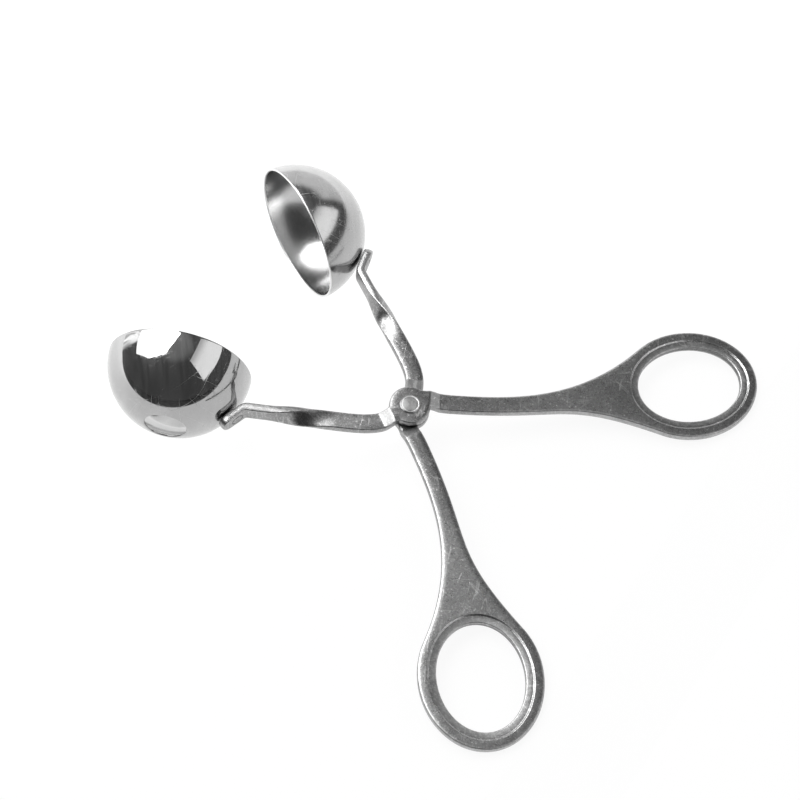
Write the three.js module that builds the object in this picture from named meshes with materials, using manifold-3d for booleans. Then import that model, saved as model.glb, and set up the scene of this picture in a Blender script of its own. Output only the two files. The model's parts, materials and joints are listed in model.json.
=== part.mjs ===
// Meatball maker: scissor tongs of stamped stainless strip with a hemispherical bowl at each tip.
// Both halves are the same stamping and the same bowl; the rear half is the front one turned over.
// Millimetres and degrees, +Z up. The tool lies open on a table, on its bowls and finger rings.

import * as THREE from "three";
import { mergeVertices } from "three/addons/utils/BufferGeometryUtils.js";
import Module from "manifold-3d";

const wasm = await Module();
wasm.setup();

// An arm is laid out as in the shut tool: pivot at the origin, X towards the rings, the closing plane
// at Y = 0, headings counted from X. The front arm has its ring on the +Y side and its bowl on the -Y side.

// Bowl
const BOWL_DIAMETER = 45;
const BOWL_WALL = 0.7;
const VENT_DIAMETER = 13;
const BOWL_REACH = 72; // pivot to bowl centre
const RIM_GAP = 0.3; // between the two rims when the tool is shut

// Strip that each arm is stamped from
const STRIP_WIDTH = 5.7;
const STRIP_THICKNESS = 2.85;
const EDGE_ROUND = 0.5;

// Pivot
const BOSS_DIAMETER = 12.8;
const BOSS_GAP = 0.3; // between the two bosses
const JOGGLE_MARGIN = 0.3; // from the boss's edge to the joggle's first bend line
const JOGGLE_LENGTH = 3; // slope from the boss's level to the arm's middle plane
const RIVET_DIAMETER = 4;
const RIVET_PLAY = 0.3; // radial, in the boss's hole
const RIVET_HEAD_DIAMETER = 6.4;
const RIVET_HEAD_HEIGHT = 0.6;
const RIVET_CHAMFER = 0.5;
const RIVET_SEAT_GAP = 0.3; // head to boss

// Finger ring
const RING_REACH = 89.4; // pivot to ring centre
const RING_SPREAD = 17.2; // heading of the ring centre
const RING_TILT = 24.3; // heading of the oval's long axis
const HOLE_LENGTH = 33.3;
const HOLE_BREADTH = 26;
const END_WALL = 5.4; // hole to outer edge at the oval's ends
const SIDE_WALL = 5.6; // hole to outer edge at the oval's sides
const LEDGE_DEPTH = 0.3; // of the ledge round the hole, below the strip's face
const LEDGE_WIDTH = 2.2; // hole to the foot of the step
const STEP_WIDTH = 0.5; // from the ledge up to the flat band

// Handle: a root curve from the pivot to the neck, then two edges that flare into the ring.
// A lead is how far a curve keeps to its end's heading; a touch is a place round the ring's oval.
const ROOT_HEADING = 48;
const ROOT_LEAD = 6;
const NECK_X = 12.6;
const NECK_Y = 4.15;
const NECK_HEADING = 7.7;
const NECK_LEAD = 4.5;
const OUTER_LEAD = 18.8;
const OUTER_TOUCH = 123.3;
const OUTER_TOUCH_LEAD = 28.2;
const INNER_LEAD = 36.6;
const INNER_TOUCH = 231.1;
const INNER_TOUCH_LEAD = 33.4;

// Forearm: a root curve from the pivot, a straight run with a quarter twist, and a bend into the weld tab
const FOREARM_ROOT_HEADING = 224;
const FOREARM_ROOT_LEAD = 9.2;
const RUN_HEADING = 183.9;
const RUN_LEAD = 13.8;
const TWIST_LENGTH = 21.7;
const EDGE_RUN = 6.8; // on edge, from the twist to the bend
const TAB_ANGLE = 40.3; // round the bowl from its pivot side to where the tab touches
const TAB_LEAD = 6.2; // bend to touching place
const TAB_TAIL = 3; // touching place to the tab's end
const TAB_BEND_RADIUS = 2.5; // of the strip's middle
const WELD_GAP = 0.3; // tab to bowl
const WELD_MARK_DIAMETER = 3.4;
const WELD_MARK_DEPTH = 0.3;
const WELD_MARK_SETBACK = 2.4; // touching place back to the mark's centre

// Pose
const OPENING = 50; // between the halves, as they lie
const STEEPEST_LEAN = 45; // a lean on the table that is surely too steep

// Looks
const ARM_LOOK = { color: 0x8e8e8e, roughness: 0.38, metalness: 1 };
const BOWL_LOOK = { color: 0xc6c6c6, roughness: 0.08, metalness: 1 };
const RIVET_LOOK = { color: 0xa4a4a4, roughness: 0.3, metalness: 1 };

// Fineness, in steps
const BOWL_STEPS_AROUND = 44;
const BOWL_STEPS_DOWN = 10;
const RING_STEPS = 48;
const ROUND_STEPS = 32;
const CORNER_STEPS = 2;
const BOSS_STEPS = 3;
const JOGGLE_STEPS = 2;
const CURVE_STEPS = 6;
const FLARE_STEPS = 16;
const TWIST_STEPS = 12;
const BEND_STEPS = 5;
const TAB_END_STEPS = 6;
const LEAN_HALVINGS = 40;

const bowlRadius = BOWL_DIAMETER / 2;
const halfWidth = STRIP_WIDTH / 2;
const halfThickness = STRIP_THICKNESS / 2;
const bossLevel = (BOSS_GAP + STRIP_THICKNESS) / 2;
const joggleStart = BOSS_DIAMETER / 2 + JOGGLE_MARGIN;
const joggleEnd = joggleStart + JOGGLE_LENGTH;
const pivot = new THREE.Vector2();
const radians = THREE.MathUtils.degToRad;
const { clamp, smoothstep } = THREE.MathUtils;

// Unit vector along a heading in the arm's plane
function towards(heading) {
  return new THREE.Vector2(Math.cos(radians(heading)), Math.sin(radians(heading)));
}

// Point that lies a distance from another along a direction
function beyond(from, direction, distance) {
  return from.clone().addScaledVector(direction, distance);
}

// Cubic curve that leaves one point and arrives at another along given directions
function sweep(from, leaving, leavingLead, to, arriving, arrivingLead) {
  const control = beyond(from, leaving, leavingLead);
  return new THREE.CubicBezierCurve(from, control, beyond(to, arriving, -arrivingLead), to);
}

// Height of the strip's middle, by the distance along it from the pivot
function joggle(distance) {
  return bossLevel * clamp((joggleEnd - distance) / JOGGLE_LENGTH, 0, 1);
}

// Rounded corner of a section, as a quarter turn from a given angle
function corner(x, y, from) {
  const arc = new THREE.EllipseCurve(x, y, EDGE_ROUND, EDGE_ROUND, radians(from), radians(from + 90));
  return arc.getPoints(CORNER_STEPS);
}

// Section across the strip: a rounded rectangle, rolled about the strip's middle line
function section({ at, heading, height = 0, width = STRIP_WIDTH, roll = 0 }) {
  const along = new THREE.Vector3(heading.x, heading.y, 0);
  const side = new THREE.Vector3(-heading.y, heading.x, 0).applyAxisAngle(along, roll);
  const up = new THREE.Vector3(0, 0, 1).applyAxisAngle(along, roll);
  const middle = new THREE.Vector3(at.x, at.y, height);
  const across = width / 2 - EDGE_ROUND;
  const upward = halfThickness - EDGE_ROUND;
  const outline = [
    ...corner(across, upward, 0),
    ...corner(-across, upward, 90),
    ...corner(-across, -upward, 180),
    ...corner(across, -upward, 270),
  ];
  return outline.map(({ x, y }) => middle.clone().addScaledVector(side, x).addScaledVector(up, y));
}

// Skin over a row of sections with equal counts of points; its ends are capped or joined in a loop
function loft(sections, looped = false) {
  const count = sections[0].length;
  const spans = looped ? sections.length : sections.length - 1;
  const triangles = [];
  for (let row = 0; row < spans; row += 1) {
    const here = row * count;
    const next = ((row + 1) % sections.length) * count;
    for (let i = 0; i < count; i += 1) {
      const j = (i + 1) % count;
      triangles.push(here + i, here + j, next + j, here + i, next + j, next + i);
    }
  }
  if (!looped) {
    const last = (sections.length - 1) * count;
    for (let i = 1; i < count - 1; i += 1) {
      triangles.push(0, i + 1, i, last, last + i, last + i + 1);
    }
  }
  const geometry = new THREE.BufferGeometry();
  const positions = sections.flat().flatMap((point) => point.toArray());
  geometry.setAttribute("position", new THREE.Float32BufferAttribute(positions, 3));
  geometry.setIndex(triangles);
  return geometry;
}

// Solid for joining and cutting
function solid(geometry) {
  const bare = geometry.clone();
  bare.deleteAttribute("normal");
  bare.deleteAttribute("uv");
  const merged = mergeVertices(bare);
  const vertProperties = new Float32Array(merged.attributes.position.array);
  const triVerts = new Uint32Array(merged.index.array);
  return new wasm.Manifold(new wasm.Mesh({ numProp: 3, vertProperties, triVerts }));
}

function geometryOf(body) {
  const mesh = body.getMesh();
  const geometry = new THREE.BufferGeometry();
  geometry.setAttribute("position", new THREE.BufferAttribute(mesh.vertProperties, 3));
  geometry.setIndex(new THREE.BufferAttribute(mesh.triVerts, 1));
  geometry.computeVertexNormals();
  return geometry;
}

// Upright cylinder between two heights
function post(diameter, bottom, top) {
  const geometry = new THREE.CylinderGeometry(diameter / 2, diameter / 2, top - bottom, ROUND_STEPS);
  geometry.rotateX(Math.PI / 2);
  geometry.translate(0, 0, (bottom + top) / 2);
  return geometry;
}

// Oval round the finger hole, at given distances outside it
const ringCentre = towards(RING_SPREAD).multiplyScalar(RING_REACH);
function oval(pastEnd, pastSide) {
  const halfLength = HOLE_LENGTH / 2 + pastEnd;
  const halfBreadth = HOLE_BREADTH / 2 + pastSide;
  const { x, y } = ringCentre;
  return new THREE.EllipseCurve(x, y, halfLength, halfBreadth, 0, 2 * Math.PI, false, radians(RING_TILT));
}
const holeOutline = oval(0, 0);
const ringOutline = oval(END_WALL, SIDE_WALL);

// Finger ring: a flat band with a step down to a ledge round the hole, alike on both faces
function fingerRing() {
  const ledgeHeight = halfThickness - LEDGE_DEPTH;
  const ledge = [
    ...corner(EDGE_ROUND, ledgeHeight - EDGE_ROUND, 90).reverse(),
    new THREE.Vector2(LEDGE_WIDTH, ledgeHeight),
    new THREE.Vector2(LEDGE_WIDTH + STEP_WIDTH, halfThickness),
  ];
  const rim = corner(-EDGE_ROUND, halfThickness - EDGE_ROUND, 0).reverse();
  const sections = [];
  for (let step = 0; step < RING_STEPS; step += 1) {
    const hole = holeOutline.getPoint(step / RING_STEPS);
    const edge = ringOutline.getPoint(step / RING_STEPS);
    const outward = edge.clone().sub(hole).normalize();
    const lift = (from) => ({ x, y }) => {
      const place = beyond(from, outward, x);
      return new THREE.Vector3(place.x, place.y, y);
    };
    const upper = [...ledge.map(lift(hole)), ...rim.map(lift(edge))];
    const lower = upper.map(({ x, y, z }) => new THREE.Vector3(x, y, -z)).reverse();
    sections.push([...upper, ...lower]);
  }
  return loft(sections, true);
}

// Opening that keeps the handle out of the ring's hole and ledge
function ringOpening() {
  const clear = LEDGE_WIDTH + STEP_WIDTH + EDGE_ROUND;
  const outline = new THREE.Shape(oval(clear, clear).getPoints(RING_STEPS));
  const geometry = new THREE.ExtrudeGeometry(outline, { depth: 2 * STRIP_THICKNESS, bevelEnabled: false });
  geometry.translate(0, 0, -STRIP_THICKNESS);
  return geometry;
}

// One edge of the handle, from the neck to where it runs into the ring; side is 1 outside, -1 inside
const neck = new THREE.Vector2(NECK_X, NECK_Y);
function flareEdge(side, lead, touch, touchLead) {
  const from = beyond(neck, towards(NECK_HEADING + 90), side * halfWidth);
  const to = ringOutline.getPoint(touch / 360);
  const arriving = ringOutline.getTangent(touch / 360).multiplyScalar(-side);
  return sweep(from, towards(NECK_HEADING), lead, to, arriving, touchLead);
}

// Values spread evenly from one limit up to the other, without the last
function spread(from, to, steps) {
  return Array.from({ length: steps }, (_, step) => from + ((to - from) * step) / steps);
}

// Strip from the pivot along a root curve, with stations on both bend lines of the joggle
function rootSections(root) {
  const length = root.getLength();
  const distances = [
    ...spread(0, joggleStart, BOSS_STEPS),
    ...spread(joggleStart, joggleEnd, JOGGLE_STEPS),
    ...spread(joggleEnd, length, CURVE_STEPS),
  ];
  return distances.map((distance) => {
    const part = distance / length;
    const height = joggle(distance);
    return section({ at: root.getPointAt(part), heading: root.getTangentAt(part), height });
  });
}

// Handle: out of the boss, down the joggle to the neck, then flaring into the ring
function handle() {
  const root = sweep(pivot, towards(ROOT_HEADING), ROOT_LEAD, neck, towards(NECK_HEADING), NECK_LEAD);
  const sections = rootSections(root);
  const outer = flareEdge(1, OUTER_LEAD, OUTER_TOUCH, OUTER_TOUCH_LEAD);
  const inner = flareEdge(-1, INNER_LEAD, INNER_TOUCH, INNER_TOUCH_LEAD);
  for (let step = 0; step <= FLARE_STEPS; step += 1) {
    const left = outer.getPoint(step / FLARE_STEPS);
    const right = inner.getPoint(step / FLARE_STEPS);
    const across = left.clone().sub(right);
    const heading = new THREE.Vector2(across.y, -across.x).normalize();
    sections.push(section({ at: right.clone().lerp(left, 0.5), heading, width: across.length() }));
  }
  return loft(sections);
}

// Weld tab: where it touches the bowl, the way it runs there, and the bend before it
const bowlCentre = new THREE.Vector2(-BOWL_REACH, 0);
const tabOutward = towards(-TAB_ANGLE);
const tabHeading = 270 - TAB_ANGLE;
const tabTouch = beyond(bowlCentre, tabOutward, bowlRadius + WELD_GAP + halfThickness);
const tabBend = beyond(tabTouch, towards(tabHeading), -TAB_LEAD);
const runStart = beyond(tabBend, towards(RUN_HEADING), -(TWIST_LENGTH + EDGE_RUN));

// Forearm: out of the boss, down the joggle, a quarter twist, then a bend into the round-ended weld tab
function forearm() {
  const run = towards(RUN_HEADING);
  const root = sweep(pivot, towards(FOREARM_ROOT_HEADING), FOREARM_ROOT_LEAD, runStart, run, RUN_LEAD);
  const sections = rootSections(root);
  const onEdge = -Math.PI / 2;
  for (let step = 0; step <= TWIST_STEPS; step += 1) {
    const part = step / TWIST_STEPS;
    const at = beyond(runStart, run, part * TWIST_LENGTH);
    sections.push(section({ at, heading: run, roll: smoothstep(part, 0, 1) * onEdge }));
  }
  const bendAngle = tabHeading - RUN_HEADING;
  const setback = TAB_BEND_RADIUS * Math.tan(radians(bendAngle / 2));
  const bendCentre = beyond(beyond(tabBend, run, -setback), towards(RUN_HEADING + 90), TAB_BEND_RADIUS);
  for (let step = 0; step <= BEND_STEPS; step += 1) {
    const heading = RUN_HEADING + (step / BEND_STEPS) * bendAngle;
    const at = beyond(bendCentre, towards(heading - 90), TAB_BEND_RADIUS);
    sections.push(section({ at, heading: towards(heading), roll: onEdge }));
  }
  for (let step = 0; step < TAB_END_STEPS; step += 1) {
    const angle = ((step / TAB_END_STEPS) * Math.PI) / 2;
    const pastTouch = TAB_TAIL - halfWidth * (1 - Math.sin(angle));
    const at = beyond(tabTouch, towards(tabHeading), pastTouch);
    const width = STRIP_WIDTH * Math.cos(angle);
    sections.push(section({ at, heading: towards(tabHeading), width, roll: onEdge }));
  }
  return loft(sections);
}

// Pivot boss: a disc with rounded edges at its own level
function boss() {
  const outline = new THREE.Shape();
  outline.absarc(0, 0, BOSS_DIAMETER / 2 - EDGE_ROUND, 0, 2 * Math.PI);
  const geometry = new THREE.ExtrudeGeometry(outline, {
    depth: STRIP_THICKNESS - 2 * EDGE_ROUND,
    bevelThickness: EDGE_ROUND,
    bevelSize: EDGE_ROUND,
    bevelSegments: CORNER_STEPS,
    curveSegments: ROUND_STEPS / 2,
  });
  geometry.translate(0, 0, bossLevel - halfThickness + EDGE_ROUND);
  return geometry;
}

// Shallow round mark of the spot weld on the outside of the tab
function weldMark() {
  const middle = beyond(tabTouch, towards(tabHeading), -WELD_MARK_SETBACK);
  const outside = beyond(middle, tabOutward, halfThickness);
  const geometry = post(WELD_MARK_DIAMETER, -WELD_MARK_DEPTH, WELD_MARK_DEPTH);
  geometry.rotateY(Math.PI / 2);
  geometry.rotateZ(radians(-TAB_ANGLE));
  geometry.translate(outside.x, outside.y, 0);
  return geometry;
}

// Whole arm as one stamping
function armGeometry() {
  const bore = post(RIVET_DIAMETER + 2 * RIVET_PLAY, -STRIP_THICKNESS, 2 * bossLevel);
  const body = solid(handle())
    .subtract(solid(ringOpening()))
    .add(solid(fingerRing()))
    .add(solid(forearm()))
    .add(solid(boss()))
    .subtract(solid(bore))
    .subtract(solid(weldMark()));
  return geometryOf(body);
}

// Bowl: half a hollow ball with a vent at its pole, its rim just short of the closing plane
function bowlGeometry() {
  const arc = (radius) => {
    const rim = Math.asin(RIM_GAP / 2 / radius);
    const vent = Math.acos(VENT_DIAMETER / 2 / radius);
    return Array.from({ length: BOWL_STEPS_DOWN + 1 }, (_, step) => {
      const angle = rim + ((vent - rim) * step) / BOWL_STEPS_DOWN;
      return new THREE.Vector2(radius * Math.cos(angle), -radius * Math.sin(angle));
    });
  };
  const inside = arc(bowlRadius - BOWL_WALL);
  const outside = arc(bowlRadius).reverse();
  const profile = [...inside, ...outside, inside[0].clone()];
  const geometry = new THREE.LatheGeometry(profile, BOWL_STEPS_AROUND);
  geometry.translate(bowlCentre.x, bowlCentre.y, 0);
  return geometry;
}

// Rivet: a chamfered head in front, the shank, and a like head formed behind
function rivetGeometry() {
  const seat = BOSS_GAP / 2 + STRIP_THICKNESS + RIVET_SEAT_GAP;
  const top = seat + RIVET_HEAD_HEIGHT;
  const headRadius = RIVET_HEAD_DIAMETER / 2;
  const front = [
    [RIVET_DIAMETER / 2, seat],
    [headRadius, seat],
    [headRadius, top - RIVET_CHAMFER],
    [headRadius - RIVET_CHAMFER, top],
    [0, top],
  ];
  const back = front.map(([radius, height]) => [radius, -height]).reverse();
  const profile = [...back, ...front].map(([radius, height]) => new THREE.Vector2(radius, height));
  const geometry = new THREE.LatheGeometry(profile, ROUND_STEPS);
  geometry.rotateX(Math.PI / 2);
  return geometry;
}

function piece(name, geometry, look) {
  const mesh = new THREE.Mesh(geometry, new THREE.MeshStandardMaterial(look));
  mesh.name = name;
  return mesh;
}

// One half of the tool, turned open about the pivot
const arm = armGeometry();
const bowl = bowlGeometry();
function half(side) {
  const group = new THREE.Group();
  group.add(piece(`${side}_arm`, arm, ARM_LOOK));
  group.add(piece(`${side}_bowl`, bowl, BOWL_LOOK));
  group.rotation.z = radians(OPENING / 2);
  return group;
}

const turnedOver = new THREE.Group();
turnedOver.add(half("rear"));
turnedOver.rotation.x = Math.PI;

const tongs = new THREE.Group();
tongs.add(half("front"), turnedOver, piece("pivot_rivet", rivetGeometry(), RIVET_LOOK));

// Every corner of the tool, as it is placed
function corners(group) {
  const points = [];
  group.updateMatrixWorld(true);
  group.traverse((part) => {
    if (part.isMesh) {
      const { position } = part.geometry.attributes;
      for (let i = 0; i < position.count; i += 1) {
        points.push(new THREE.Vector3().fromBufferAttribute(position, i).applyMatrix4(part.matrixWorld));
      }
    }
  });
  return points;
}

// Lean about Y at which bowls and rings touch the table together, found by halving
function restingLean(points) {
  const lowest = (side, lean) => side.reduce((least, { x, z }) => (
    Math.min(least, z * Math.cos(lean) - x * Math.sin(lean))
  ), Infinity);
  const bowls = points.filter(({ x }) => x < 0);
  const rings = points.filter(({ x }) => x > 0);
  let flat = 0;
  let steep = radians(STEEPEST_LEAN);
  for (let i = 0; i < LEAN_HALVINGS; i += 1) {
    const lean = (flat + steep) / 2;
    if (lowest(bowls, lean) < lowest(rings, lean)) {
      flat = lean;
    } else {
      steep = lean;
    }
  }
  return flat;
}

// On the table, with the origin under the middle of the tool
tongs.rotation.y = restingLean(corners(tongs));
const box = new THREE.Box3().setFromPoints(corners(tongs));
const middle = box.getCenter(new THREE.Vector3());
tongs.position.set(-middle.x, -middle.y, -box.min.z);

const meatballMaker = new THREE.Group();
meatballMaker.add(tongs);

export default meatballMaker;
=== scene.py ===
import json
import math

import bmesh
import bpy
from bpy.props import FloatProperty, FloatVectorProperty, PointerProperty
from mathutils import Matrix, Vector
from mathutils.geometry import tessellate_polygon

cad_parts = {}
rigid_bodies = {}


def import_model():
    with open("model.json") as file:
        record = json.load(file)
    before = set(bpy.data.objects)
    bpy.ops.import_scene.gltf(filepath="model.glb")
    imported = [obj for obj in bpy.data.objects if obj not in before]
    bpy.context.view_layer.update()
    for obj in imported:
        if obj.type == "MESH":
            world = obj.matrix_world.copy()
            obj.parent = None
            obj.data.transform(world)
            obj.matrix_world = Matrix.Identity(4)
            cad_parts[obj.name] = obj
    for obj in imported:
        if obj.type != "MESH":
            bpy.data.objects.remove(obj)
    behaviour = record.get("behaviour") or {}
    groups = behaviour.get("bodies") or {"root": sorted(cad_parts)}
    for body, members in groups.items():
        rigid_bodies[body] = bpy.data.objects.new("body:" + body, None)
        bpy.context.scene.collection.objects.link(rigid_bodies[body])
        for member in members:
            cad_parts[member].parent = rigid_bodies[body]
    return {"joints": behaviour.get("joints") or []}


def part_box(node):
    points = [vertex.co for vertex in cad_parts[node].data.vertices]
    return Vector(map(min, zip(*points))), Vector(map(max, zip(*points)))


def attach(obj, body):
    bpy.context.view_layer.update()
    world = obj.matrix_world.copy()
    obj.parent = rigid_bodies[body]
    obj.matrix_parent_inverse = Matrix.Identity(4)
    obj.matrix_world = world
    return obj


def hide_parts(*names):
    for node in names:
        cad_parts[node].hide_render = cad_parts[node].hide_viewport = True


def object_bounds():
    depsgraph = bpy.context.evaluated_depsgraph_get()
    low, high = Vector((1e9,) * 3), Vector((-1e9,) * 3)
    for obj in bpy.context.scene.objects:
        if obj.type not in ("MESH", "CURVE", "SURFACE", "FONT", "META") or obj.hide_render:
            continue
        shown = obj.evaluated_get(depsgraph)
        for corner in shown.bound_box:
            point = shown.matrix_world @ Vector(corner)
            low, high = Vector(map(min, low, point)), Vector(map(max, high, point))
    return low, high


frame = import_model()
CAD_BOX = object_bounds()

bl_info = {
    "name": "Meatball Maker",
    "version": (1, 0, 0),
    "blender": (4, 5, 0),
    "location": "View3D > Sidebar > Meatball Maker",
    "description": "Dresses a packed pair of ball-forming tongs in fine meshes and steel finishes",
    "category": "Object",
}

MM = 0.001
ORIGIN = Vector((0, 0))
HINGE = frame["joints"][0]
PIVOT = Vector(HINGE["pos_m"])
HINGE_AXIS = Vector(HINGE["axis"])
LEAN = math.atan2(HINGE_AXIS.x, HINGE_AXIS.z)
BOWL_LOW, BOWL_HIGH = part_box("front_bowl")
FRONT, REAR = HINGE["child"], HINGE["parent"]

# Fineness, in steps
EDGE_STEPS = 5
SIDE_STEPS = 3
CROWN_STEPS = 4
BLEND_STEPS = 4
FLARE_STEPS = 72
ROOT_STEPS = 28
OVAL_STEPS = 180
BOSS_STEPS = 28
FILLET_STEPS = 6
TAB_END_STEPS = 24
BORE_STEPS = 64
MARK_STEPS = 36
CREASE_STEPS = 4
TWIST_STEPS = 32
TAB_BEND_STEPS = 12
BOWL_AROUND = 224
BOWL_DOWN = 72
CAP_STEPS = 8
RIVET_AROUND = 96
HALVINGS = 40

# Widest gap that a cut closes, and how near two corners are taken for one, as a share of the edge round
CUT_TOLERANCE = MM / 1e4
SAME_CORNER = 0.1

# Spot weld's mark, as shares of its size: breadth of the rim and depth of the floor
MARK_RIM = 0.22
MARK_FLOOR = 0.3

# How dark the painted shade on the finger hole's wall is, and how soon a joggle's slope is fully dull and
# lightened with painted light
HOLE_WALL_SHADE = 0.7
SLOPE_GAIN = 8

# Middle level of a cloudy pattern
MIDDLE = 0.5

# Fields of fine scratches: size of the clouds that they outline, width of a line, turns of the layers
ARM_SCRATCHES = 3.5 * MM, 0.016, [(0, 0, 0.45), (0, 0, -0.9), (0, 0, 1.4)]
BOWL_SCRATCHES = 6 * MM, 0.007, [(0.2, 0, 0.5), (1.1, 0.3, -0.4), (0, 1.2, 0.9), (0.6, -0.5, 1.7)]
BOWL_NICKS = 2.2 * MM, 0.012, [(0.4, 0.8, 0.2), (-0.7, 0.1, 1.1)]
BOWL_BUFFING = 0.9 * MM, 0.03, [(0.1, 0.4, 0.3), (0.9, -0.2, -0.6), (-0.4, 0.7, 1.3)]

# Scratches: how far their clouds are drawn out, and the size and levels of the gaps in a line
HAIR_STRETCH = 1, 9, 9
HAIR_GAP = 2
HAIR_LEVELS = 0.52, 0.62

# Arms: sizes of the patterns, reach of the dark patina round the pivot, and depth of the relief
GRAIN = 0.5 * MM
MOTTLE = 1.1 * MM
CLOUDS = 8 * MM
SPECKS = 1.1 * MM
PATINA = 8 * MM, 50 * MM
SATIN_RELIEF = 0.014 * MM

# Arms: levels between which the patterns come in, and the least that two of them keep
GRAIN_LEVELS = 0.48, 0.72
MOTTLE_LEVELS = 0.45, 0.75
CLOUD_LEVELS = 0.3, 0.7
RUBBED_LEVELS = 0.4, 0.62
RUBBED_LEAST = 0.5
SPECK_EDGE = 0.1, 0.3
SPECK_MOTTLE = 0.46, 0.6
SPECK_CLOUDS = 0.42, 0.58
SPECK_LEAST = 0.2

# Arms: how much the patterns lighten the steel, and how far worn edges lose specks and relief
PLAIN_TONE = 0.15
GRAIN_TONE = 0.75
MOTTLE_TONE = 0.16
CLOUD_TONE = 0.2
RUBBED_TONE = 0.5
PATINA_TONE = 0.36
# Painted light on the joggles' slopes, which their boss shades
SLOPE_PAINTED_LIGHT = 0.55
# Painted glints: specks and scratches lightened as if catching the softbox's light
SPECK_GLINT = 0.8
SCRATCH_GLINT = 0.4
WORN_SMOOTH = 0.9

# Arms: how much the patterns roughen and raise the steel
MOTTLE_ROUGH = 0.06
WEAR_ROUGH = 0.06
SLOPE_ROUGH = 0.22
GRAIN_HEIGHT = 0.5
MOTTLE_HEIGHT = 0.3
SCRATCH_HEIGHT = -0.4

# Bowls: sizes, turns and stretches of the patterns, and depth of the relief
SMEARS = 9 * MM
SMEAR_TURN = 0.3, 0.2, 0.5
SMEAR_STRETCH = 1, 3, 1
HAZE = 2 * MM
STROKES = 1.1 * MM
STROKE_TURN = 0.5, 0.3, 0.9
STROKE_STRETCH = 1, 12, 12
POLISH_RELIEF = 0.004 * MM

# Bowls: levels between which the patterns come in, the film's least weight, and how clean the inside is
SMEAR_LEVELS = 0.3, 0.7
DULL_LEVELS = 0.5, 0.75
NICK_LEVELS = 0.5, 0.6
STROKE_LEVELS = 0.4, 0.62
FILM_LEAST = 0.35
INSIDE_CLEAN = 0.9

# Bowls: how much the patterns lighten, roughen and raise the steel
SMEAR_TONE = 0.5
HAZE_TONE = 0.25
MARK_TONE = 0.6
BRIM_ROUGH = 0.3
SMEAR_ROUGH = 0.035
HAZE_ROUGH = 0.015
MARK_ROUGH = 0.25
BUFFING_ROUGH = 0.12
HAZE_HEIGHT = 0.25
BUFFING_HEIGHT = -0.3

# Rivet: pitch of the lathe's rings, sizes and levels of the patterns, and depth of the relief
LATHE_PITCH = 0.22 * MM
WANDER = 0.9 * MM
RIVET_SPECKS = 0.3 * MM
WANDER_LEVELS = 0.3, 0.7
TURNED_RELIEF = 0.008 * MM

# Rivet: how far the rings wander, and how much the patterns lighten, roughen and raise the steel
RING_WANDER = 2
WANDER_TONE = 0.5
RIVET_SPECK_TONE = 0.35
RING_TONE = 0.08
WANDER_ROUGH = 0.1
EDGE_ROUGH = 0.15
RING_HEIGHT = 0.4
RIVET_SPECK_HEIGHT = 0.6

# Shades of each finish, dark and light, and of single marks, as factors of its colour
SATIN_SHADES = 0.62, 1.5
# Painted glints of the arms' specks and scratches
GLINT_SHADE = 2.6
# Scorch on the weld's rim, and painted shade on the finger hole's wall
SCORCH_AND_SHADE_TINT = 0.25
OUTSIDE_SHADES = 0.92, 1.1
INSIDE_SHADES = 1.12, 1.38
# Painted highlight on the bowls' rims
RIM_HIGHLIGHT_SHADE = 2
RIVET_SHADES = 0.7, 1.2
# Painted highlight round the rivet's flat
RIVET_HIGHLIGHT_SHADE = 2
FIBRE_SHADES = 0.985, 1.015
NAP_SHADES = 0.9, 1.1

# Matte sheets: plain sockets of their shader, and sizes of the floor's fibres and the card's nap
MATTE = {"Roughness": 0.9, "Specular IOR Level": 0.1}
FIBRES = 2 * MM
NAP = 1.5 * MM

# Floor below the tool's lowest point, share of its light that falls off, and between which distances
FLOOR_DROP = 0.02 * MM
FALL_SHARE = 0.38
FALL_REACH = -280 * MM, 40 * MM

# Corners of the overhead softbox and the X between which it dims, in metres
SOFTBOX = (
    (-0.25, 0.65), (-0.2, -0.03), (-0.26, -0.8), (-1.24, -1.66), (-3.38, -2.16), (-4.1, 0.38), (-1, 1.38),
)
SOFTBOX_FADE = -1.8, -0.9

# Heights between which the panel on the right dims, in metres, and the share of light that its top keeps
WINDOW_FADE = 1.2, 2.1
WINDOW_TOP = 0.5

# Room: bearings and sines of elevations between which the backdrop's edges and the ceiling fade
BACKDROP_LEFT = -1.87, -1.8
BACKDROP_RIGHT = 0.2, 0.4
BACKDROP_TOP = 0.52, 0.72
CEILING_EDGE = 0.85, 0.96

# Backdrop: its folds, and the bearing, breadth and gain of the bright streaks near its left edge
FOLDS = 0.25
FOLD_STRETCH = 1, 1, 6
FOLD_LEAST = 0.6
FOLD_GAIN = 0.8
STREAKS = 0.07
STREAK_STRETCH = 1, 1, 12
STREAK_LEVELS = 0.45, 0.6
STREAK_BEARING = -1.68
STREAK_BREADTH = 0.25
STREAK_GAIN = 1.5

# Nearest distance that the camera sees, as a share of its distance
CLIP_SHARE = 0.01


def length(name, description, millimetres):
    """Property for a size, given in millimetres and kept in metres"""
    size = millimetres * MM
    return FloatProperty(name=name, description=description, default=size, unit="LENGTH", precision=5)


def place_at(name, description, millimetres):
    """Property for a place, given in millimetres and kept in metres"""
    place = [value * MM for value in millimetres]
    return FloatVectorProperty(
        name=name, description=description, default=place, subtype="XYZ", unit="LENGTH",
    )


def angle(name, description, degrees):
    """Property for an angle, given in degrees and kept in radians"""
    turn = math.radians(degrees)
    return FloatProperty(name=name, description=description, default=turn, subtype="ANGLE")


def share(name, description, default):
    """Property for a plain number"""
    return FloatProperty(name=name, description=description, default=default, min=0, precision=3)


def tint(name, description, colour):
    """Property for a colour"""
    return FloatVectorProperty(
        name=name, description=description, default=colour, min=0, max=1, subtype="COLOR",
    )


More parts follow.
